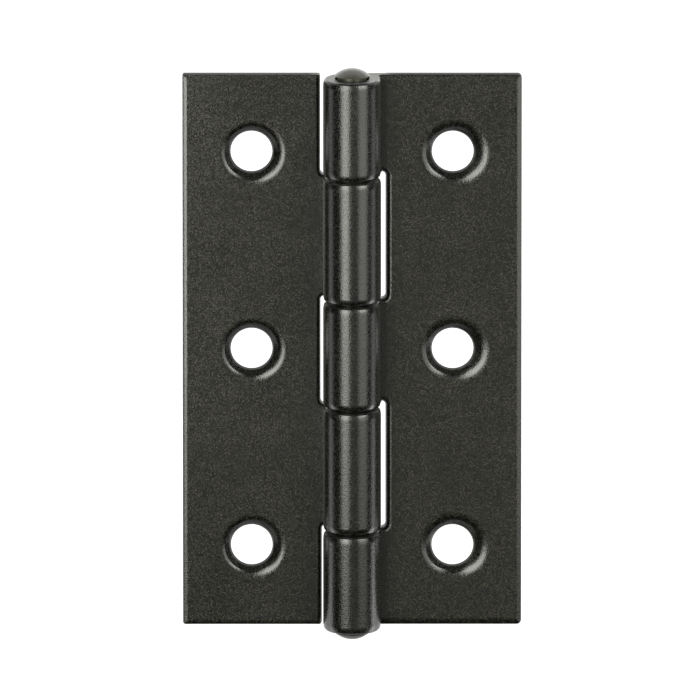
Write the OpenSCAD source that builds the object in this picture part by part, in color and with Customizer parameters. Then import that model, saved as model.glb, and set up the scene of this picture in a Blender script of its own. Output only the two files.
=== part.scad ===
// Flat hinge: two leaves of folded sheet steel on one fixed pin.
// X points to the right leaf, Y away from the screw-head side, Z up along the pin.
// The origin is on the pin's axis, halfway up. Sizes in mm. The hinge is laid open flat.

/* [Leaves] */
// Height of both leaves
leaf_height = 100; // [60:0.5:160]
// From the pin's axis to the outer edge of one leaf
leaf_reach = 30; // [22:0.5:60]
// Coated sheet thickness
sheet = 2.05; // [1:0.05:3]
// Corner radius of the right leaf, seen from the front
right_corner = 0.85; // [0.3:0.05:4]
// Corner radius of the left leaf, seen from the front
left_corner = 0.45; // [0.3:0.05:4]
// Width of the right leaf's soft front edge
right_roll = 1.2; // [0.2:0.05:1.5]
// Width of the left leaf's soft front edge
left_roll = 0.8; // [0.2:0.05:1.5]
// Slope that the soft front edges reach, in degrees
roll_slope = 27; // [20:1:60]
// Soft front edge of the right leaf along its slits
right_lip = 1.1; // [0.2:0.05:1.2]
// Soft front edge of the left leaf along its slits
left_lip = 0.85; // [0.2:0.05:1.2]
// Corner radius of both leaves beside the barrel
inner_corner = 0.5; // [0.1:0.05:1]
// Soft back edge of both leaves
back_roll = 0.25; // [0.1:0.05:0.5]

/* [Knuckles] */
// Part of the leaf's height that each end knuckle takes
end_share = 0.179; // [0.14:0.005:0.22]
// Part of the leaf's height that the second and the fourth knuckle each take
second_share = 0.225; // [0.17:0.005:0.25]
// End play between neighbouring knuckles
knuckle_gap = 0.4; // [0.2:0.05:1]
// How far from its end a knuckle starts to draw in
end_draw = 1.2; // [0.4:0.05:2]
// Radius of the curve by which it draws in
draw_radius = 3; // [2:0.1:6]
// Bevel of a knuckle's end edges
end_bevel = 0.16; // [0.05:0.01:0.4]
// Opening that is left where the rolled sheet meets its own leaf
seam = 0.15; // [0.05:0.05:0.5]
// Slit between the left leaf and the top knuckle
slit_top = 0.52; // [0.2:0.02:1.5]
// Slit between the left leaf and the middle knuckle
slit_middle = 0.46; // [0.2:0.02:1.5]
// Slit between the left leaf and the bottom knuckle
slit_bottom = 0.22; // [0.2:0.02:1.5]
// Slit between the right leaf and its neighbour's knuckles
slit_right = 0.78; // [0.2:0.02:1.5]
// Radius in the corners of a slit
slit_corner = 0.7; // [0.2:0.05:1.2]

/* [Pin] */
// Pin diameter
pin_d = 6; // [3:0.5:10]
// Running clearance around the pin, on the radius
pin_clearance = 0.08; // [0.05:0.01:0.2]
// Length of the knurl that grips each end knuckle
grip_length = 12; // [6:0.5:16]
// Diameter of the domed ends
head_d = 6.24; // [4:0.02:9]
// How far the dome's rim stands over the knuckle
head_lift = 0.5; // [0.2:0.05:1]
// Straight wall of the domed end, under its dome
head_wall = 0.1; // [0.1:0.05:0.8]
// How far the top of the dome stands over the knuckle
head_rise = 1.85; // [1:0.05:3]
// Depth of the neck between the grip and the domed end, on the radius
neck_depth = 0.35; // [0.1:0.05:0.6]
// How far the grip ends below the knuckle's end
grip_inset = 0.8; // [0.4:0.1:3]
// Length of the taper at the inner end of the grip
grip_taper = 0.3; // [0.1:0.1:1]
// Bevel under the rim and at the grip's outer end
rim_bevel = 0.05; // [0.05:0.05:0.3]

/* [Screw holes] */
// From the pin's axis to the holes
hole_x = 17.8; // [12:0.05:40]
// From the ends of the leaf to the outer holes
hole_inset = 14.2; // [8:0.1:30]
// Diameter of the hole's throat
throat_d = 7.4; // [3:0.1:9]
// From the leaf's back to the countersink's cone
throat_land = 0.75; // [0.1:0.05:1]
// Rounding where the cone meets the throat
throat_round = 0.9; // [0.1:0.05:1.2]
// Radius of the soft rim that the punch leaves round the right leaf's countersinks
right_dish = 3.2; // [0.5:0.05:4]
// Radius of the soft rim round the left leaf's countersinks
left_dish = 2.2; // [0.5:0.05:4]
// How far the right leaf's rims lie to the right of their holes
right_shift = 0.3; // [0.05:0.05:0.8]
// How far the left leaf's rims lie to the right of their holes
left_shift = 0.15; // [0.05:0.05:0.8]
// How far down the countersink the rim's wall ends
dish_depth = 1.1; // [0.8:0.05:1.5]
// Slope of the rim's wall, in degrees
dish_slope = 38; // [25:1:44]

/* [Hidden] */
$fn = 96;
coat_colour = [0.11, 0.105, 0.095];
// How far a cutting tool runs past the face that it cuts, and how far a filler runs into its wall
overrun = 1;
overlap = 0.01;
bore_r = pin_d / 2 + pin_clearance;
knuckle_r = bore_r + sheet;
half_height = leaf_height / 2;
joint_outer = half_height - leaf_height * end_share;
joint_inner = joint_outer - leaf_height * second_share;
play = knuckle_gap / 2;
// The straight lower and upper ends of each knuckle
top_span = [joint_outer + play, half_height];
second_span = [joint_inner + play, joint_outer - play];
middle_span = [-joint_inner + play, joint_inner - play];
fourth_span = [-joint_outer + play, -joint_inner - play];
bottom_span = [-half_height, -joint_outer - play];

// A rectangle from x0 to x1 and y0 to y1, with a radius in each corner.
// Corners: x0 y0, x1 y0, x1 y1, x0 y1. A radius of 0 leaves the corner sharp.
module rounded_box_2d(x0, x1, y0, y1, radii) {
    xs = [x0, x1, x1, x0];
    ys = [y0, y0, y1, y1];
    sx = [1, -1, -1, 1];
    sy = [1, 1, -1, -1];
    difference() {
        translate([x0, y0]) square([x1 - x0, y1 - y0]);
        for (i = [0:3]) if (radii[i] > 0)
            difference() {
                translate([min(xs[i], xs[i] + sx[i] * radii[i]), min(ys[i], ys[i] + sy[i] * radii[i])])
                    square(radii[i]);
                translate([xs[i] + sx[i] * radii[i], ys[i] + sy[i] * radii[i]]) circle(radii[i]);
            }
    }
}

// What the upper end of a rolled strip loses, drawn from its outer corner: the curve and the bevel.
module strip_end_2d() {
    inset = draw_radius - sqrt(draw_radius * draw_radius - end_draw * end_draw) + end_bevel;
    difference() {
        translate([-draw_radius, -end_draw]) square([draw_radius + overrun, end_draw + overrun]);
        translate([-draw_radius, -end_draw]) circle(draw_radius);
    }
    polygon([[-inset - overrun, overrun], [overrun, -inset - overrun], [overrun, overrun]]);
}

// The cross-section of a rolled strip: thickness along x, the knuckle's length along y.
module strip_2d(span) {
    difference() {
        translate([bore_r, span[0]]) square([sheet, span[1] - span[0]]);
        translate([knuckle_r, span[1]]) strip_end_2d();
        translate([knuckle_r, span[0]]) mirror([0, 1]) strip_end_2d();
    }
}

// One knuckle: the strip leaves the leaf's back, goes three quarters round the pin,
// and its straight end runs back to the leaf's front. It is drawn for the right leaf.
// Beside the barrel, the strip's front edge is soft where low_roll or high_roll gives a width.
module knuckle(span, strip_x, low_roll = 0, high_roll = 0) {
    full_x = max(low_roll, high_roll) > 0 ? knuckle_r : strip_x;
    rotate([90, 0, 90]) linear_extrude(full_x) strip_2d(span);
    if (full_x < strip_x)
        translate([full_x, 0, 0]) rotate([90, 0, 90]) linear_extrude(strip_x - full_x) difference() {
            strip_2d(span);
            if (low_roll > 0) translate([bore_r, span[0]]) roll_2d(low_roll);
            if (high_roll > 0) translate([bore_r, span[1]]) mirror([0, 1]) roll_2d(high_roll);
        }
    rotate([0, 0, 90]) rotate_extrude(angle = 270) strip_2d(span);
    translate([0, bore_r - seam, 0]) rotate([90, 0, 0]) linear_extrude(bore_r - seam) strip_2d(span);
}

// What rounds a straight front edge: material between the edge and its radius, along x and y.
module edge_tool_2d(radius) {
    difference() {
        translate([-overrun, -overrun]) square(radius + overrun);
        translate([radius, radius]) circle(radius);
    }
}

// What a leaf's soft front edge takes away, drawn from the edge: its depth along x, its width along y.
module roll_2d(width) {
    radius = width / sin(roll_slope);
    difference() {
        translate([-overrun, -overrun]) square([radius + overrun, width + overrun]);
        translate([radius, width]) circle(radius);
    }
}

// The flat part of a leaf from its slits' line to its outer edge.
module plate(z0, z1, inner_x, corner, roll, low, high) {
    intersection() {
        translate([0, knuckle_r, 0]) rotate([90, 0, 0]) linear_extrude(sheet)
            rounded_box_2d(inner_x, leaf_reach, z0, z1, [0, low ? corner : 0, high ? corner : 0, 0]);
        translate([0, 0, z0]) linear_extrude(z1 - z0) difference() {
            rounded_box_2d(inner_x, leaf_reach, bore_r, knuckle_r, [0, 0, back_roll, 0]);
            translate([leaf_reach, bore_r]) rotate([0, 0, 90]) roll_2d(roll);
        }
        translate([inner_x, 0, 0]) rotate([90, 0, 90]) linear_extrude(leaf_reach - inner_x) difference() {
            rounded_box_2d(bore_r, knuckle_r, z0, z1, [0, low ? back_roll : 0, high ? back_roll : 0, 0]);
            if (low) translate([bore_r, z0]) roll_2d(roll);
            if (high) translate([bore_r, z1]) mirror([0, 1]) roll_2d(roll);
        }
    }
}

// The web that makes a slit's inner corner round. side is 1 above a strip and -1 below it.
module slit_web(inner_x, z, side) {
    translate([inner_x, knuckle_r, z]) mirror([0, 0, side > 0 ? 0 : 1]) rotate([90, 0, 0])
        linear_extrude(sheet) difference() {
            translate([-slit_corner, -overlap]) square(slit_corner + overlap);
            translate([-slit_corner, slit_corner]) circle(slit_corner);
        }
}

// The tool that softens a slit's front edge round one inner corner and along the strip.
module corner_lip(inner_x, z, side, lip) {
    translate([inner_x - slit_corner, bore_r, z]) mirror([0, 0, side > 0 ? 0 : 1])
        translate([0, 0, slit_corner]) rotate([-90, 0, 0]) rotate_extrude(angle = 90)
            translate([slit_corner, 0]) intersection() {
                edge_tool_2d(lip);
                translate([-overlap, -overrun]) square(lip + overrun);
            }
}

// The tool that softens a slit's front edge. Its ends run on past the leaf where it is open.
module slit_lip(inner_x, z0, z1, low, high, lip) {
    from = low ? z0 + slit_corner : z0 - overrun;
    to = high ? z1 - slit_corner : z1 + overrun;
    translate([inner_x, bore_r, from]) linear_extrude(to - from) edge_tool_2d(lip);
    if (low) corner_lip(inner_x, z0, 1, lip);
    if (high) corner_lip(inner_x, z1, -1, lip);
}

// The tool that rounds a leaf's corner beside the barrel, at the leaf's upper or lower end.
module inner_corner_tool(inner_x, side) {
    translate([inner_x, knuckle_r + overrun, side * half_height]) mirror([0, 0, side > 0 ? 1 : 0])
        rotate([90, 0, 0]) linear_extrude(sheet + overrun + overrun) edge_tool_2d(inner_corner);
}

// The tool for one countersunk hole: a cone with a round throat, and a soft rim a little to one side.
module countersink(dish, shift) {
    throat_r = throat_d / 2;
    depth = sheet - throat_land;
    cone_r = throat_r + depth;
    rise = throat_round * tan(22.5);
    edge = throat_round * (1 - cos(45));
    dish_r = cone_r + dish * tan(22.5);
    wall_r = dish_r - dish * sin(dish_slope);
    wall_depth = dish * (1 - cos(dish_slope));
    end_r = wall_r - (dish_depth - wall_depth) / tan(dish_slope);
    translate([0, bore_r, 0]) rotate([-90, 0, 0]) rotate_extrude() {
        difference() {
            polygon([[0, -overrun], [cone_r + overrun, -overrun], [throat_r + edge, depth - edge],
                [throat_r + throat_round, depth + rise], [0, depth + rise]]);
            translate([throat_r + throat_round, depth + rise]) circle(throat_round);
        }
        translate([0, depth + rise - overlap]) square([throat_r, throat_land - rise + overlap + overrun]);
    }
    translate([shift, bore_r, 0]) rotate([-90, 0, 0]) rotate_extrude() difference() {
        polygon([[0, -overrun], [dish_r, -overrun], [dish_r, 0], [wall_r, wall_depth],
            [end_r, dish_depth], [0, dish_depth]]);
        translate([dish_r, dish]) circle(dish);
    }
}

module screw_holes(dish, shift) {
    for (z = [half_height - hole_inset, 0, hole_inset - half_height])
        translate([hole_x, 0, z]) countersink(dish, shift);
}

module right_leaf() {
    inner_x = knuckle_r + slit_right;
    strip_x = inner_x + right_lip;
    color(coat_colour) difference() {
        union() {
            plate(-half_height, half_height, inner_x, right_corner, right_roll, true, true);
            knuckle(top_span, strip_x, 0, right_roll);
            knuckle(middle_span, strip_x);
            knuckle(bottom_span, strip_x, right_roll, 0);
            slit_web(inner_x, top_span[0], -1);
            slit_web(inner_x, middle_span[1], 1);
            slit_web(inner_x, middle_span[0], -1);
            slit_web(inner_x, bottom_span[1], 1);
        }
        slit_lip(inner_x, middle_span[1], top_span[0], true, true, right_lip);
        slit_lip(inner_x, bottom_span[1], middle_span[0], true, true, right_lip);
        screw_holes(right_dish, right_shift);
    }
}

// Drawn on the right and mirrored, so its own slits are the three beside the other leaf's knuckles.
module left_leaf() {
    top_x = knuckle_r + slit_top;
    middle_x = knuckle_r + slit_middle;
    bottom_x = knuckle_r + slit_bottom;
    color(coat_colour) mirror([1, 0, 0]) difference() {
        union() {
            plate(second_span[0], half_height, top_x, left_corner, left_roll, false, true);
            plate(fourth_span[1], second_span[0], middle_x, left_corner, left_roll, false, false);
            plate(-half_height, fourth_span[1], bottom_x, left_corner, left_roll, true, false);
            knuckle(second_span, top_x + left_lip);
            knuckle(fourth_span, middle_x + left_lip);
            slit_web(top_x, second_span[1], 1);
            slit_web(middle_x, second_span[0], -1);
            slit_web(middle_x, fourth_span[1], 1);
            slit_web(bottom_x, fourth_span[0], -1);
        }
        slit_lip(top_x, second_span[1], half_height, true, false, left_lip);
        slit_lip(middle_x, fourth_span[1], second_span[0], true, true, left_lip);
        slit_lip(bottom_x, -half_height, fourth_span[0], false, true, left_lip);
        inner_corner_tool(top_x, 1);
        inner_corner_tool(bottom_x, -1);
        screw_holes(left_dish, -left_shift);
    }
}

// Half of the pin, from its middle up: shank, knurled grip, neck and domed end.
module half_pin_2d() {
    shank_r = pin_d / 2;
    head_r = head_d / 2;
    neck_r = shank_r - neck_depth;
    grip_top = half_height - grip_inset;
    grip_bottom = grip_top - grip_length;
    rim_z = half_height + head_lift;
    dome_z = rim_z + head_wall;
    rise = head_rise - head_lift - head_wall;
    dome_r = (head_r * head_r + rise * rise) / (2 * rise);
    polygon([[0, 0], [shank_r, 0], [shank_r, grip_bottom - grip_taper], [bore_r, grip_bottom],
        [bore_r, grip_top - rim_bevel], [neck_r, grip_top], [neck_r, rim_z - rim_bevel],
        [head_r - rim_bevel, rim_z], [head_r, rim_z + rim_bevel], [head_r, dome_z], [0, dome_z]]);
    intersection() {
        translate([0, dome_z - overlap]) square([head_r, rise + overlap]);
        translate([0, dome_z + rise - dome_r]) circle(dome_r);
    }
}

module hinge_pin() {
    color(coat_colour) {
        rotate_extrude() half_pin_2d();
        mirror([0, 0, 1]) rotate_extrude() half_pin_2d();
    }
}

left_leaf();
right_leaf();
hinge_pin();
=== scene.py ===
"""A flat hinge of folded sheet steel with a fine-grained black coat, laid open and upright.

Everything is in metres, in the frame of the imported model: X runs from the pin to the right leaf's
outer edge, Y away from the screw-head side, and Z up along the pin, with the origin halfway up it.
"""

from __future__ import annotations

import logging
import math
from dataclasses import asdict, dataclass, fields
from enum import Enum

import bpy
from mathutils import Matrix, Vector

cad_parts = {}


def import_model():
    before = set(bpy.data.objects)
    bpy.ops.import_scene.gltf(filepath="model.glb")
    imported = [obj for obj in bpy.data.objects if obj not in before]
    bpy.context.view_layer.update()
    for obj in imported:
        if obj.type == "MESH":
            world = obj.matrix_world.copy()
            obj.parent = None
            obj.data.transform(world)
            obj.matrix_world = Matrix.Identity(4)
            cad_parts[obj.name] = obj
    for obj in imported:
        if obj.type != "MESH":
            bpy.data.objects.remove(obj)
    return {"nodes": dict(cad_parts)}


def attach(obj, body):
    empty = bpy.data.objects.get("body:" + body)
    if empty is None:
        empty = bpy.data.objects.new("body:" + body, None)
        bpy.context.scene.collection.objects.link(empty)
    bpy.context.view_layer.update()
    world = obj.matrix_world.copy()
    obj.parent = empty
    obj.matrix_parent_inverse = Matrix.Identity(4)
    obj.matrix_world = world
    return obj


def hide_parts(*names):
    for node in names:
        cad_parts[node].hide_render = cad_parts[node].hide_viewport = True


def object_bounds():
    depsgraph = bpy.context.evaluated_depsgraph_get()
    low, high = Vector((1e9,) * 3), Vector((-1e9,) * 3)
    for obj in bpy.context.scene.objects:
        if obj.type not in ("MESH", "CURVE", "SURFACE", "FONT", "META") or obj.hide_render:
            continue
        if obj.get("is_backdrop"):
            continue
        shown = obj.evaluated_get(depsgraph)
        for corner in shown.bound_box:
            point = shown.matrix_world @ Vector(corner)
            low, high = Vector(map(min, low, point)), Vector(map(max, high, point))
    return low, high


LOG = logging.getLogger("flat_hinge")
MM = 0.001
WHITE = (1.0, 1.0, 1.0, 1.0)
# Colour of the lamps
LAMP_COLOUR = (1.0, 1.0, 0.93)
# Colour of the floor
PALE = (0.8, 0.8, 0.8, 1.0)
# A value that runs from nothing to all, and one that runs back
RISING = (0.0, 1.0)
FALLING = (1.0, 0.0)
# Mean of the square of a random value between 0 and 1
MEAN_SQUARE = 1 / 3
# The part of a noise's range that most of its values lie in
NOISE_SPAN = (0.3, 0.7)
# Points closer than this, in metres, are one
MERGE_DISTANCE = 1e-6
# Edges that bend more than this, in radians, stay sharp
SHARP_ANGLE = 0.5

NodeTree = bpy.types.NodeTree
NodeSocket = bpy.types.NodeSocket
Colour = tuple[float, float, float]
Span = tuple[float, float]


class Node(Enum):
    """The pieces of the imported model."""

    LEFT_LEAF = "left_leaf"
    RIGHT_LEAF = "right_leaf"
    PIN = "hinge_pin"


class Body(Enum):
    """The two bodies that the joint connects."""

    LEFT = "left_leaf"
    RIGHT = "right_leaf"


class Socket(Enum):
    """The kinds of socket that a node group has."""

    VALUE = "NodeSocketFloat"
    COUNT = "NodeSocketInt"
    VECTOR = "NodeSocketVector"
    MATERIAL = "NodeSocketMaterial"
    GEOMETRY = "NodeSocketGeometry"


class Tree(Enum):
    """The kinds of node group."""

    SHADER = "ShaderNodeTree"
    GEOMETRY = "GeometryNodeTree"


def add_node(tree: NodeTree, kind: str, **settings: object) -> bpy.types.Node:
    """Add a node and set its properties.

    Args:
        tree: The tree that gets the node.
        kind: The node's type.
        settings: Properties of the node by name.

    Returns:
        The new node.
    """
    node = tree.nodes.new(kind)
    for label, value in settings.items():
        setattr(node, label, value)
    return node


def feed(tree: NodeTree, node: bpy.types.Node, **sources: object) -> bpy.types.Node:
    """Fill a node's inputs, from other nodes' sockets or with plain values.

    Args:
        tree: The tree that holds the node.
        node: The node whose inputs are filled.
        sources: An output socket or a value for each input, by the input's name in lower case with
            an underscore for each space, or by its number after the letter i.

    Returns:
        The same node.
    """
    by_name = {socket.name.lower().replace(" ", "_"): socket for socket in reversed(node.inputs)}
    for label, source in sources.items():
        numbered = label[0] == "i" and label[1:].isdigit()
        socket = node.inputs[int(label[1:])] if numbered else by_name[label]
        if isinstance(source, bpy.types.NodeSocket):
            tree.links.new(source, socket)
        else:
            socket.default_value = source
    return node


def math_node(tree: NodeTree, operation: str, first: object, second: object = 0.0) -> NodeSocket:
    """Add a Math node.

    Args:
        tree: The tree that gets the node.
        operation: What the node does.
        first: Its first input, a socket or a value.
        second: Its second input, a socket or a value.

    Returns:
        The node's output.
    """
    node = add_node(tree, "ShaderNodeMath", operation=operation)
    return feed(tree, node, i0=first, i1=second).outputs["Value"]


def range_node(
    tree: NodeTree, value: object, source: Span, target: Span, smooth: bool = False
) -> NodeSocket:
    """Add a Map Range node.

    Args:
        tree: The tree that gets the node.
        value: The socket or value to map.
        source: Where the value starts and ends.
        target: What those two ends become.
        smooth: Whether the change between them is eased.

    Returns:
        The node's output.
    """
    kind = "SMOOTHSTEP" if smooth else "LINEAR"
    node = add_node(tree, "ShaderNodeMapRange", interpolation_type=kind)
    feed(tree, node, value=value, from_min=source[0], from_max=source[1])
    feed(tree, node, to_min=target[0], to_max=target[1])
    return node.outputs["Result"]


def split_vector(tree: NodeTree, vector: NodeSocket) -> bpy.types.Node:
    """Add a node that takes a vector apart into X, Y and Z."""
    return feed(tree, add_node(tree, "ShaderNodeSeparateXYZ"), vector=vector)


def length_node(tree: NodeTree, vector: NodeSocket) -> NodeSocket:
    """Add a node that measures a vector's length."""
    node = add_node(tree, "ShaderNodeVectorMath", operation="LENGTH")
    return feed(tree, node, i0=vector).outputs["Value"]


def join_vector(tree: NodeTree, **parts: NodeSocket) -> NodeSocket:
    """Add a node that makes a vector from its parts x, y and z; a part that isn't given is zero."""
    return feed(tree, add_node(tree, "ShaderNodeCombineXYZ"), **parts).outputs["Vector"]


def new_group(
    name: str, inputs: dict[str, Socket], outputs: dict[str, Socket], kind: Tree = Tree.SHADER
) -> tuple[NodeTree, bpy.types.Node, bpy.types.Node]:
    """Make an empty node group with named sockets.

    Args:
        name: The group's name.
        inputs: Each input's name and kind.
        outputs: Each output's name and kind.
        kind: The kind of group.

    Returns:
        The group's tree, its Group Input node and its Group Output node.
    """
    tree = bpy.data.node_groups.new(name, kind.value)
    for label, socket in inputs.items():
        tree.interface.new_socket(label, in_out="INPUT", socket_type=socket.value)
    for label, socket in outputs.items():
        tree.interface.new_socket(label, in_out="OUTPUT", socket_type=socket.value)
    return tree, add_node(tree, "NodeGroupInput"), add_node(tree, "NodeGroupOutput")


class CoatGroups:
    """The shader groups that every coated piece uses, each built once.

    Attributes:
        grain: The tone of the coat's fine speckle, and the height of its orange peel.
        cloud: Slow changes of tone over the sheet, from the thickness of the coat.
        drawn: A mask that is one on the rolled and punched surfaces and zero on the flat sheet,
        with painted shade where it fades out over the flat sheet beside the barrel, and one of the
        sheet's cut edges.
        peel_detail: Detail of the orange peel's noise.
        cloud_detail: Detail of the slow changes' noise.
        flat_facing: How square to Y a surface is where it is no longer drawn.
        edge_facing: The same where it is no longer a cut edge.
        end_facing: How square to Z a surface is where it counts as a knuckle's end.
        end_cut: How far a knuckle's end counts as a cut edge.
    """

    peel_detail = 1.0
    cloud_detail = 3.0
    flat_facing: Span = (0.93, 0.995)
    edge_facing: Span = (0.3, 0.6)
    end_facing: Span = (0.9, 0.97)
    end_cut = 0.35

    def __init__(self) -> None:
        """Build the groups."""
        self.grain = self._grain()
        self.cloud = self._cloud()
        self.drawn = self._drawn()

    def _grain(self) -> NodeTree:
        """Build the speckle from small cells of random tone, and the orange peel from fine noise.

        Returns:
            The group's tree.
        """
        names = ("Cells per metre", "Peel per metre", "Speckle")
        inputs = {"Place": Socket.VECTOR, **{name: Socket.VALUE for name in names}}
        outputs = {"Tone": Socket.VALUE, "Height": Socket.VALUE}
        tree, source, sink = new_group("coat_grain", inputs, outputs)
        place = source.outputs["Place"]
        cells = add_node(tree, "ShaderNodeTexVoronoi", feature="F1")
        feed(tree, cells, vector=place, scale=source.outputs["Cells per metre"])
        chance = split_vector(tree, cells.outputs["Color"]).outputs["X"]
        swing = math_node(tree, "SUBTRACT", math_node(tree, "MULTIPLY", chance, chance), MEAN_SQUARE)
        swing = math_node(tree, "DIVIDE", swing, MEAN_SQUARE)
        swing = math_node(tree, "MULTIPLY", swing, source.outputs["Speckle"])
        noise = add_node(tree, "ShaderNodeTexNoise")
        feed(tree, noise, vector=place, scale=source.outputs["Peel per metre"], detail=self.peel_detail)
        feed(tree, sink, tone=math_node(tree, "ADD", swing, 1.0), height=noise.outputs["Fac"])
        return tree

    def _cloud(self) -> NodeTree:
        """Build the slow changes of tone.

        Returns:
            The group's tree.
        """
        inputs = {"Place": Socket.VECTOR, "Clouds per metre": Socket.VALUE, "Swing": Socket.VALUE}
        tree, source, sink = new_group("coat_cloud", inputs, {"Tone": Socket.VALUE})
        noise = add_node(tree, "ShaderNodeTexNoise")
        feed(tree, noise, vector=source.outputs["Place"], scale=source.outputs["Clouds per metre"])
        feed(tree, noise, detail=self.cloud_detail)
        swing = range_node(tree, noise.outputs["Fac"], NOISE_SPAN, (-1.0, 1.0))
        tone = math_node(tree, "MULTIPLY", swing, source.outputs["Swing"])
        feed(tree, sink, tone=math_node(tree, "ADD", tone, 1.0))
        return tree

    def _drawn(self) -> NodeTree:
        """Build the masks of drawn surfaces, near the pin's axis or not quite flat, with painted shade
        over the flat sheet beside the barrel, and of cut edges.

        Returns:
            The group's tree.
        """
        inputs = {"Place": Socket.VECTOR, "Facing": Socket.VECTOR}
        inputs.update({name: Socket.VALUE for name in ("Radius", "Fade")})
        outputs = {"Mask": Socket.VALUE, "Cut": Socket.VALUE}
        tree, source, sink = new_group("drawn_mask", inputs, outputs)
        place = split_vector(tree, source.outputs["Place"])
        across = join_vector(tree, x=place.outputs["X"], y=place.outputs["Y"])
        # Painted shade: past the barrel's radius the darker mask reaches over the flat sheet beside it, by
        # Fade
        past = math_node(tree, "SUBTRACT", length_node(tree, across), source.outputs["Radius"])
        share = math_node(tree, "DIVIDE", past, source.outputs["Fade"])
        roll_and_shade = range_node(tree, share, RISING, FALLING, smooth=True)
        facing = split_vector(tree, source.outputs["Facing"])
        square = math_node(tree, "ABSOLUTE", facing.outputs["Y"])
        turned = range_node(tree, square, self.flat_facing, FALLING, smooth=True)
        upright = range_node(tree, square, self.edge_facing, FALLING, smooth=True)
        edge = math_node(tree, "MULTIPLY", upright, math_node(tree, "SUBTRACT", 1.0, roll_and_shade))
        level = math_node(tree, "ABSOLUTE", facing.outputs["Z"])
        end = range_node(tree, level, self.end_facing, (0.0, self.end_cut))
        mask = math_node(tree, "MAXIMUM", roll_and_shade, turned)
        feed(tree, sink, mask=mask, cut=math_node(tree, "MAXIMUM", edge, end))
        return tree


@dataclass(frozen=True)
class BlackCoat:
    """The black powder coat on one piece.

    Attributes:
        name: The material's name.
        colour: The coat's own colour, linear.
        flat_tone: How much lighter the flat sheet's grainy coat looks, as a share of the colour.
        drawn_tone: The same where the sheet is rolled or punched, and the coat lies smooth, and for the
            painted shade on the flat sheet beside the barrel.
        flat_roughness: Blur of reflections on the flat sheet.
        drawn_roughness: Blur of reflections where the sheet is rolled or punched.
        cut_roughness: How much the cut edges of the sheet add to that.
        reflectance: Strength of the coat's reflections, as the shader's specular level.
        grain_size: Size of one grain of the coat, in metres.
        peel_size: Size of one dimple of the orange peel, in metres.
        speckle: How far a grain's colour departs from the coat's, as a share.
        glint: How far a grain's blur departs from the coat's, as a share of its speckle.
        flat_height: Height of the orange peel on the flat sheet, in metres.
        drawn_share: The orange peel of drawn surfaces, as a share of the flat sheet's.
        cloud_size: Size of one slow change of tone, in metres.
        cloud_swing: How far the slow changes depart from the coat's tone, as a share.
        barrel_radius: Outer radius of the rolled barrel, in metres.
        barrel_fade: How far past that radius the barrel's finish, and the painted shade beside the barrel,
            reach into the flat sheet.
    """

    name: str
    colour: Colour = (0.0199, 0.0196, 0.0140)
    flat_tone: float = 0.84
    drawn_tone: float = 0.25
    flat_roughness: float = 0.17
    drawn_roughness: float = 0.24
    cut_roughness: float = 0.5
    reflectance: float = 1.0
    grain_size: float = 0.16 * MM
    peel_size: float = 0.22 * MM
    speckle: float = 1.0
    glint: float = 0.2
    flat_height: float = 0.025 * MM
    drawn_share: float = 1.0
    cloud_size: float = 9.0 * MM
    cloud_swing: float = 0.12
    barrel_radius: float = 5.15 * MM
    # Reach of the painted shade on the flat sheet beside the barrel
    barrel_fade: float = 4.0 * MM

    def material(self, groups: CoatGroups) -> bpy.types.Material:
        """Build the coat's material.

        Args:
            groups: The shader groups that the coat places.

        Returns:
            The finished material.
        """
        material = bpy.data.materials.new(self.name)
        material.use_nodes = True
        tree = material.node_tree
        tree.nodes.clear()
        where = add_node(tree, "ShaderNodeTexCoord")
        place = where.outputs["Object"]
        grain = add_node(tree, "ShaderNodeGroup", node_tree=groups.grain)
        feed(tree, grain, place=place, cells_per_metre=1 / self.grain_size, speckle=self.speckle)
        feed(tree, grain, peel_per_metre=1 / self.peel_size)
        cloud = add_node(tree, "ShaderNodeGroup", node_tree=groups.cloud)
        feed(tree, cloud, place=place, clouds_per_metre=1 / self.cloud_size, swing=self.cloud_swing)
        drawn = add_node(tree, "ShaderNodeGroup", node_tree=groups.drawn)
        feed(tree, drawn, place=place, facing=where.outputs["Normal"])
        feed(tree, drawn, radius=self.barrel_radius, fade=self.barrel_fade)
        mask = drawn.outputs["Mask"]
        # Painted shade: the darker tone also covers the flat sheet beside the barrel
        level = range_node(tree, mask, RISING, (self.flat_tone, self.drawn_tone))
        tone = math_node(tree, "MULTIPLY", grain.outputs["Tone"], cloud.outputs["Tone"])
        paint = add_node(tree, "ShaderNodeVectorMath", operation="SCALE")
        feed(tree, paint, i0=self.colour, scale=math_node(tree, "MULTIPLY", tone, level))
        blur = range_node(tree, mask, RISING, (self.flat_roughness, self.drawn_roughness))
        blur = math_node(tree, "MULTIPLY", blur, cloud.outputs["Tone"])
        glint = math_node(tree, "SUBTRACT", grain.outputs["Tone"], 1.0)
        glint = math_node(tree, "MULTIPLY", glint, self.glint)
        blur = math_node(tree, "MULTIPLY", blur, math_node(tree, "ADD", glint, 1.0))
        dull = math_node(tree, "MULTIPLY", drawn.outputs["Cut"], self.cut_roughness)
        blur = math_node(tree, "ADD", blur, dull)
        depth = range_node(tree, mask, RISING, (1.0, self.drawn_share))
        relief = math_node(tree, "MULTIPLY", grain.outputs["Height"], depth)
        bump = add_node(tree, "ShaderNodeBump")
        feed(tree, bump, strength=1.0, distance=self.flat_height, height=relief)
        shader = add_node(tree, "ShaderNodeBsdfPrincipled")
        shader.inputs["Specular IOR Level"].default_value = self.reflectance
        feed(tree, shader, base_color=paint.outputs["Vector"], roughness=blur)
        feed(tree, shader, normal=bump.outputs["Normal"])
        output = add_node(tree, "ShaderNodeOutputMaterial")
        tree.links.new(shader.outputs["BSDF"], output.inputs["Surface"])
        return material


LEAF_COAT = BlackCoat("leaf_coat")
PIN_COAT = BlackCoat(
    "pin_coat", drawn_tone=2.4, drawn_roughness=0.30, cut_roughness=0.0, speckle=0.3
)


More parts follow.
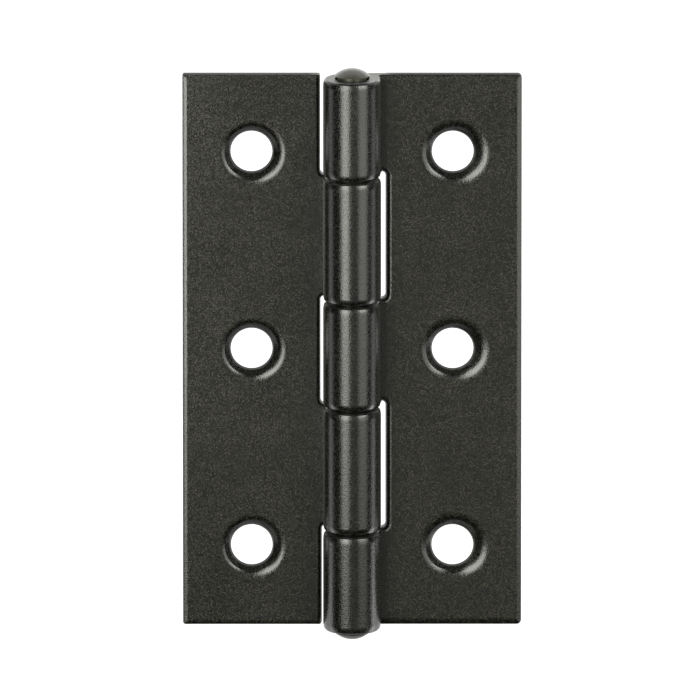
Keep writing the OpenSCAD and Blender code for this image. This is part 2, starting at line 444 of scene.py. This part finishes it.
@dataclass(frozen=True)
class Leaf:
    """One leaf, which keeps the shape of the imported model.

    Attributes:
        node: The leaf's node.
    """

    node: Node

    def dress(self, nodes: dict[str, bpy.types.Object], coat: bpy.types.Material) -> bpy.types.Object:
        """Give the leaf its coat.

        Args:
            nodes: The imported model's nodes by name.
            coat: The leaf's material.

        Returns:
            The leaf.
        """
        leaf = nodes[self.node.value]
        leaf.data.materials.clear()
        leaf.data.materials.append(coat)
        return leaf


@dataclass(frozen=True)
class TurnedPin:
    """The fixed pin: on each half a shank, the grip in the end knuckle, a neck and a domed end.

    Attributes:
        shank_radius: Radius between the grips, in metres, as are all its lengths.
        grip_radius: Radius of the grips.
        neck_radius: Radius of the necks.
        head_radius: Radius of the domed ends.
        grip_low: Height where a grip has its full radius.
        grip_taper: Length of the taper below that.
        grip_high: Height of the grip's outer end.
        rim_height: Height of the dome's rim.
        rim_wall: Straight wall between the rim and the dome.
        bevel: Bevel of the rim and of the grip's outer end.
        top_height: Height of the dome's top.
        facets: Steps round the pin.
        dome_rings: Steps from the dome's foot to its top.
    """

    shank_radius: float = 3.0 * MM
    grip_radius: float = 3.08 * MM
    neck_radius: float = 2.65 * MM
    head_radius: float = 3.12 * MM
    grip_low: float = 37.2 * MM
    grip_taper: float = 0.3 * MM
    grip_high: float = 49.2 * MM
    rim_height: float = 50.5 * MM
    rim_wall: float = 0.1 * MM
    bevel: float = 0.05 * MM
    top_height: float = 51.85 * MM
    facets: int = 96
    dome_rings: int = 14

    def make(self, coat: bpy.types.Material) -> bpy.types.Object:
        """Build the pin in place of its CAD node.

        Args:
            coat: Its material.

        Returns:
            The pin, a plain mesh that moves with the right leaf.
        """
        tree = self._tree()
        mesh = bpy.data.meshes.new("turned_pin")
        mesh.materials.append(coat)
        pin = bpy.data.objects.new("turned_pin", mesh)
        bpy.context.scene.collection.objects.link(pin)
        modifier = pin.modifiers.new("lathe", "NODES")
        modifier.node_group = tree
        values = {**asdict(self), "material": coat}
        for item in tree.interface.items_tree:
            key = item.name.lower().replace(" ", "_")
            if item.in_out == "INPUT" and key in values:
                modifier[item.identifier] = values[key]
        bpy.context.view_layer.update()
        turned = pin.evaluated_get(bpy.context.evaluated_depsgraph_get())
        pin.data = bpy.data.meshes.new_from_object(turned)
        pin.modifiers.remove(modifier)
        pin.data.materials.pop(index=0)
        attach(pin, Body.RIGHT.value)
        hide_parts(Node.PIN.value)
        return pin

    def _tree(self) -> NodeTree:
        """Build the lathe: a grid of steps round the pin, each row at its place on the profile.

        Returns:
            The lathe's tree, whose inputs are the pin's sizes and its material.
        """
        inputs = {}
        for field in fields(self):
            whole = isinstance(getattr(self, field.name), int)
            label = field.name.replace("_", " ").capitalize()
            inputs[label] = Socket.COUNT if whole else Socket.VALUE
        inputs["Material"] = Socket.MATERIAL
        outputs = {"Geometry": Socket.GEOMETRY}
        tree, source, sink = new_group("turned_pin", inputs, outputs, Tree.GEOMETRY)
        given = {socket.name.lower().replace(" ", "_"): socket for socket in source.outputs}
        corners = self._corners(tree, given)
        rows = math_node(tree, "ADD", given["dome_rings"], float(len(corners)))
        columns = math_node(tree, "ADD", given["facets"], 1.0)
        grid = feed(tree, add_node(tree, "GeometryNodeMeshGrid"), vertices_x=rows, vertices_y=columns)
        index = add_node(tree, "GeometryNodeInputIndex").outputs["Index"]
        row = math_node(tree, "FLOOR", math_node(tree, "DIVIDE", index, columns))
        turn = math_node(tree, "DIVIDE", math_node(tree, "MODULO", index, columns), given["facets"])
        angle = math_node(tree, "MULTIPLY", turn, math.tau)
        spot = split_vector(tree, self._profile(tree, given, corners, row))
        across = math_node(tree, "MULTIPLY", spot.outputs["X"], math_node(tree, "COSINE", angle))
        along = math_node(tree, "MULTIPLY", spot.outputs["X"], math_node(tree, "SINE", angle))
        place = join_vector(tree, x=across, y=along, z=spot.outputs["Z"])
        upper = add_node(tree, "GeometryNodeSetPosition")
        feed(tree, upper, geometry=grid.outputs["Mesh"], position=place)
        lower = feed(tree, add_node(tree, "GeometryNodeTransform"), geometry=upper.outputs["Geometry"])
        feed(tree, lower, scale=(1.0, 1.0, -1.0))
        turned = feed(tree, add_node(tree, "GeometryNodeFlipFaces"), mesh=upper.outputs["Geometry"])
        both = add_node(tree, "GeometryNodeJoinGeometry")
        tree.links.new(turned.outputs["Mesh"], both.inputs[0])
        tree.links.new(lower.outputs["Geometry"], both.inputs[0])
        closed = add_node(tree, "GeometryNodeMergeByDistance")
        feed(tree, closed, geometry=both.outputs["Geometry"], distance=MERGE_DISTANCE)
        smooth = add_node(tree, "GeometryNodeSetShadeSmooth")
        feed(tree, smooth, geometry=closed.outputs["Geometry"])
        bend = add_node(tree, "GeometryNodeInputMeshEdgeAngle").outputs["Unsigned Angle"]
        sharp = add_node(tree, "GeometryNodeSetShadeSmooth", domain="EDGE")
        corner = math_node(tree, "GREATER_THAN", bend, SHARP_ANGLE)
        feed(tree, sharp, geometry=smooth.outputs["Geometry"], selection=corner, shade_smooth=False)
        plain = add_node(tree, "GeometryNodeRealizeInstances")
        feed(tree, plain, geometry=sharp.outputs["Geometry"])
        dressed = add_node(tree, "GeometryNodeSetMaterial")
        feed(tree, dressed, geometry=plain.outputs["Geometry"], material=given["material"])
        feed(tree, sink, geometry=dressed.outputs["Geometry"])
        return tree

    def _corners(self, tree: NodeTree, given: dict[str, NodeSocket]) -> list[NodeSocket]:
        """Place the profile's corners from the pin's middle up to the dome's foot.

        Args:
            tree: The lathe's tree.
            given: Its input sockets by name.

        Returns:
            Each corner, with its radius along X and its height along Z.
        """
        taper = math_node(tree, "SUBTRACT", given["grip_low"], given["grip_taper"])
        shoulder = math_node(tree, "SUBTRACT", given["grip_high"], given["bevel"])
        under = math_node(tree, "SUBTRACT", given["rim_height"], given["bevel"])
        rim = math_node(tree, "SUBTRACT", given["head_radius"], given["bevel"])
        over = math_node(tree, "ADD", given["rim_height"], given["bevel"])
        foot = math_node(tree, "ADD", given["rim_height"], given["rim_wall"])
        pairs = [
            (given["shank_radius"], 0.0),
            (given["shank_radius"], taper),
            (given["grip_radius"], given["grip_low"]),
            (given["grip_radius"], shoulder),
            (given["neck_radius"], given["grip_high"]),
            (given["neck_radius"], under),
            (rim, given["rim_height"]),
            (given["head_radius"], over),
            (given["head_radius"], foot),
        ]
        return [join_vector(tree, x=radius, z=height) for radius, height in pairs]

    def _profile(
        self, tree: NodeTree, given: dict[str, NodeSocket], corners: list[NodeSocket], row: NodeSocket
    ) -> NodeSocket:
        """Give each row its place: a corner of the profile, or a step of the dome's arc above it.

        Args:
            tree: The lathe's tree.
            given: Its input sockets by name.
            corners: The profile's corners.
            row: The row's number, from the pin's middle up.

        Returns:
            The row's place, with its radius along X and its height along Z.
        """
        chosen = add_node(tree, "GeometryNodeIndexSwitch", data_type="VECTOR")
        while len(chosen.index_switch_items) < len(corners):
            chosen.index_switch_items.new()
        feed(tree, chosen, index=row)
        feed(tree, chosen, **{f"i{number}": corner for number, corner in enumerate(corners, start=1)})
        foot = math_node(tree, "ADD", given["rim_height"], given["rim_wall"])
        rise = math_node(tree, "SUBTRACT", given["top_height"], foot)
        squares = math_node(tree, "MULTIPLY", given["head_radius"], given["head_radius"])
        squares = math_node(tree, "ADD", squares, math_node(tree, "MULTIPLY", rise, rise))
        radius = math_node(tree, "DIVIDE", squares, math_node(tree, "ADD", rise, rise))
        opening = math_node(tree, "ARCSINE", math_node(tree, "DIVIDE", given["head_radius"], radius))
        last = float(len(corners) - 1)
        done = math_node(tree, "DIVIDE", math_node(tree, "SUBTRACT", row, last), given["dome_rings"])
        angle = math_node(tree, "MULTIPLY", opening, math_node(tree, "SUBTRACT", 1.0, done))
        across = math_node(tree, "MULTIPLY", radius, math_node(tree, "SINE", angle))
        upward = math_node(tree, "MULTIPLY", radius, math_node(tree, "COSINE", angle))
        fall = math_node(tree, "SUBTRACT", radius, upward)
        arc = join_vector(tree, x=across, z=math_node(tree, "SUBTRACT", given["top_height"], fall))
        domed = math_node(tree, "GREATER_THAN", row, last)
        either = add_node(tree, "GeometryNodeSwitch", input_type="VECTOR")
        feed(tree, either, switch=domed, false=chosen.outputs["Output"], true=arc)
        return either.outputs["Output"]


@dataclass(frozen=True)
class SoftBox:
    """One upright soft box on a circle round the hinge.

    Attributes:
        name: The lamp's name.
        azimuth: Where it stands, in degrees; 0 is in front and 90 on the right.
        distance: How far it stands from the pin, in metres.
        width: The lamp's width, in metres.
        low: The height of its lower edge above the hinge's middle, in metres.
        high: The height of its upper edge, in metres.
        brightness: The brightness of its face, where white paper in plain light is 1.
    """

    name: str
    azimuth: float
    distance: float
    width: float
    low: float
    high: float
    brightness: float

    def make(self) -> bpy.types.Object:
        """Make the lamp, facing the pin.

        Returns:
            The lamp.
        """
        turn = math.radians(self.azimuth)
        away = Vector((math.sin(turn), -math.cos(turn), 0.0))
        place = away * self.distance + Vector((0.0, 0.0, (self.low + self.high) / 2))
        size = (self.width, self.high - self.low)
        return place_lamp(self.name, place, -away, size, self.brightness)


def place_lamp(name: str, place: Vector, aim: Vector, size: Span, brightness: float) -> bpy.types.Object:
    """Make a rectangular lamp.

    Args:
        name: The lamp's name.
        place: The middle of its face.
        aim: The direction that it faces.
        size: Its width and height, in metres.
        brightness: The brightness of its face, where white paper in plain light is 1.

    Returns:
        The lamp.
    """
    light = bpy.data.lights.new(name, "AREA")
    light.shape = "RECTANGLE"
    light.color = LAMP_COLOUR
    light.size, light.size_y = size
    light.energy = brightness * math.pi * size[0] * size[1]
    lamp = bpy.data.objects.new(name, light)
    lamp.location = place
    lamp.rotation_euler = aim.to_track_quat("-Z", "Y").to_euler()
    bpy.context.scene.collection.objects.link(lamp)
    return lamp


LAMPS = (
    # The main light on the left, brighter where the domes and the rings see it
    SoftBox("key_left", azimuth=-27.0, distance=0.45, width=0.24, low=-0.128, high=0.02, brightness=4.65),
    SoftBox("key_high", azimuth=-27.5, distance=0.45, width=0.24, low=0.02, high=0.32, brightness=5.6),
    # The second light on the right, in the same two parts
    SoftBox("fill_right", azimuth=43.5, distance=0.45, width=0.30, low=-0.142, high=0.07, brightness=1.65),
    SoftBox("fill_high", azimuth=43.5, distance=0.45, width=0.26, low=0.07, high=0.32, brightness=5.6),
    # A dim card between them, which keeps the barrel's middle from going black
    SoftBox("front", azimuth=5.7, distance=0.45, width=0.15, low=-0.20, high=0.32, brightness=0.21),
    # A card behind the hinge, for the upper edges
    SoftBox("back_card", azimuth=180.0, distance=0.50, width=0.70, low=0.02, high=0.40, brightness=0.95),
    # Two low strips, for the leaves' outer edges
    SoftBox("low_left", azimuth=-97.0, distance=0.30, width=0.09, low=-0.35, high=-0.124, brightness=1.3),
    SoftBox("low_right", azimuth=97.0, distance=0.30, width=0.09, low=-0.35, high=-0.124, brightness=2.9),
)


@dataclass(frozen=True)
class Studio:
    """The white surroundings, the lamps and the camera.

    Attributes:
        view_elevation: How far the camera looks down, in degrees.
        view_distance: The camera's distance, in metres.
        view_width: How much of the object's width the picture takes in, in metres.
        aim_x: Where the picture's middle lies across the pin, in metres.
        aim_z: Where it lies along the picture's height, in metres.
        sensor: The camera's sensor width, in millimetres.
        clip: The nearest and the farthest distance that the camera sees, in metres.
        floor_side: Half the floor's width and its reach behind the hinge, in metres.
        floor_front: The floor's reach in front of the hinge, in metres.
        floor_drop: How far the floor lies below the hinge, in metres.
        floor_glow: The floor's own brightness where the camera or a reflection sees it.
        floor_near: How bright its part below the hinge looks in reflections, as a share of that; this is
            painted shade in place of the hinge's shadow.
        floor_fade: The distances from the hinge between which that part ends, in metres.
        front_level: Brightness of the room behind the camera.
        dark_level: Brightness of the room at both sides.
        front_span: How far along Y a direction points where the room's front begins and is full.
        back_span: The same for the white room behind the hinge.
        top_size: Side of the overhead lamp, in metres.
        top_height: Its height, in metres.
        top_brightness: The brightness of its face.
    """

    view_elevation: float = 13.3
    view_distance: float = 4.5
    view_width: float = 123.9 * MM
    aim_x: float = -0.37 * MM
    aim_z: float = 0.75 * MM
    sensor: float = 36.0
    clip: Span = (0.01, 100.0)
    floor_side: float = 4.0
    floor_front: float = 0.25
    floor_drop: float = 0.7
    floor_glow: float = 0.9
    floor_near: float = 0.11
    floor_fade: Span = (0.75, 1.4)
    front_level: float = 0.08
    dark_level: float = 0.008
    front_span: Span = (-0.70, -0.95)
    back_span: Span = (0.0, 0.30)
    top_size: float = 0.7
    top_height: float = 0.6
    top_brightness: float = 0.1

    def make_camera(self) -> bpy.types.Object:
        """Make the camera at the photograph's viewing angle.

        Returns:
            The camera.
        """
        lens = bpy.data.cameras.new("photo_camera")
        lens.sensor_width = self.sensor
        lens.lens = self.sensor * self.view_distance / self.view_width
        lens.clip_start, lens.clip_end = self.clip
        camera = bpy.data.objects.new("photo_camera", lens)
        lift = math.radians(self.view_elevation)
        back = Vector((0.0, -math.cos(lift), math.sin(lift)))
        up = Vector((0.0, math.sin(lift), math.cos(lift)))
        aim = Vector((self.aim_x, 0.0, 0.0)) + up * self.aim_z
        camera.location = aim + back * self.view_distance
        camera.rotation_euler = (-back).to_track_quat("-Z", "Y").to_euler()
        bpy.context.scene.collection.objects.link(camera)
        bpy.context.scene.camera = camera
        return camera

    def make_world(self) -> None:
        """Show white to the camera and behind the hinge, with the sides dark and the front dim."""
        world = bpy.data.worlds.new("white_studio")
        bpy.context.scene.world = world
        world.use_nodes = True
        tree = world.node_tree
        tree.nodes.clear()
        direction = add_node(tree, "ShaderNodeTexCoord").outputs["Generated"]
        depth = split_vector(tree, direction).outputs["Y"]
        levels = (self.dark_level, self.front_level)
        front = range_node(tree, depth, self.front_span, levels, smooth=True)
        back = range_node(tree, depth, self.back_span, RISING, smooth=True)
        room = math_node(tree, "MAXIMUM", front, back)
        camera = add_node(tree, "ShaderNodeLightPath").outputs["Is Camera Ray"]
        shine = add_node(tree, "ShaderNodeBackground")
        feed(tree, shine, color=WHITE, strength=math_node(tree, "MAXIMUM", room, camera))
        output = add_node(tree, "ShaderNodeOutputWorld")
        tree.links.new(shine.outputs["Background"], output.inputs["Surface"])

    def make_lamps(self) -> None:
        """Place the soft boxes, and the lamp overhead."""
        for lamp in LAMPS:
            lamp.make()
        over = Vector((0.0, 0.0, self.top_height))
        down = Vector((0.0, 0.0, -1.0))
        place_lamp("top_box", over, down, (self.top_size, self.top_size), self.top_brightness)

    def make_floor(self, low: float) -> bpy.types.Object:
        """Make the pale floor below the hinge.

        Args:
            low: The hinge's lowest point, in metres.

        Returns:
            The floor.
        """
        mesh = bpy.data.meshes.new("floor")
        side = self.floor_side
        front = self.floor_front
        height = low - self.floor_drop
        outline = [(-side, -front), (side, -front), (side, side), (-side, side)]
        mesh.from_pydata([(x, y, height) for x, y in outline], [], [(0, 1, 2, 3)])
        floor = bpy.data.objects.new("floor", mesh)
        bpy.context.scene.collection.objects.link(floor)
        mesh.materials.append(self._floor_paint())
        floor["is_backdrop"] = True
        return floor

    def _floor_paint(self) -> bpy.types.Material:
        """Build the floor's white, which the camera and reflections see.

        Returns:
            The floor's material.
        """
        material = bpy.data.materials.new("pale_floor")
        material.use_nodes = True
        tree = material.node_tree
        tree.nodes.clear()
        path = add_node(tree, "ShaderNodeLightPath").outputs
        shine = math_node(tree, "MAXIMUM", path["Is Glossy Ray"], path["Is Transmission Ray"])
        far = length_node(tree, add_node(tree, "ShaderNodeTexCoord").outputs["Object"])
        # Painted shade: the floor's glow in reflections is dimmed below the hinge, in place of its shadow
        shade = range_node(tree, far, self.floor_fade, (self.floor_near, 1.0), smooth=True)
        shine = math_node(tree, "MULTIPLY", shine, shade)
        seen = math_node(tree, "MAXIMUM", path["Is Camera Ray"], shine)
        glow = add_node(tree, "ShaderNodeEmission")
        feed(tree, glow, strength=math_node(tree, "MULTIPLY", seen, self.floor_glow))
        paint = feed(tree, add_node(tree, "ShaderNodeBsdfDiffuse"), color=PALE)
        both = add_node(tree, "ShaderNodeAddShader")
        feed(tree, both, i0=paint.outputs["BSDF"], i1=glow.outputs["Emission"])
        output = add_node(tree, "ShaderNodeOutputMaterial")
        tree.links.new(both.outputs["Shader"], output.inputs["Surface"])
        return material


def main() -> None:
    """Build the scene piece by piece."""
    logging.basicConfig(level=logging.INFO, format="%(message)s")
    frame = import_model()
    cad_box = [list(corner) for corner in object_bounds()]
    bpy.context.scene.view_settings.view_transform = "Standard"
    studio = Studio()
    studio.make_camera()
    studio.make_world()
    studio.make_lamps()
    studio.make_floor(cad_box[0][2])
    groups = CoatGroups()
    leaf_coat = LEAF_COAT.material(groups)
    pin_coat = PIN_COAT.material(groups)
    for node in (Node.LEFT_LEAF, Node.RIGHT_LEAF):
        leaf = Leaf(node).dress(frame["nodes"], leaf_coat)
        LOG.info("%s dressed, %d faces", leaf.name, len(leaf.data.polygons))
    pin = TurnedPin().make(pin_coat)
    LOG.info("%s turned, %d faces", pin.name, len(pin.data.polygons))


if __name__ == "__main__":
    main()
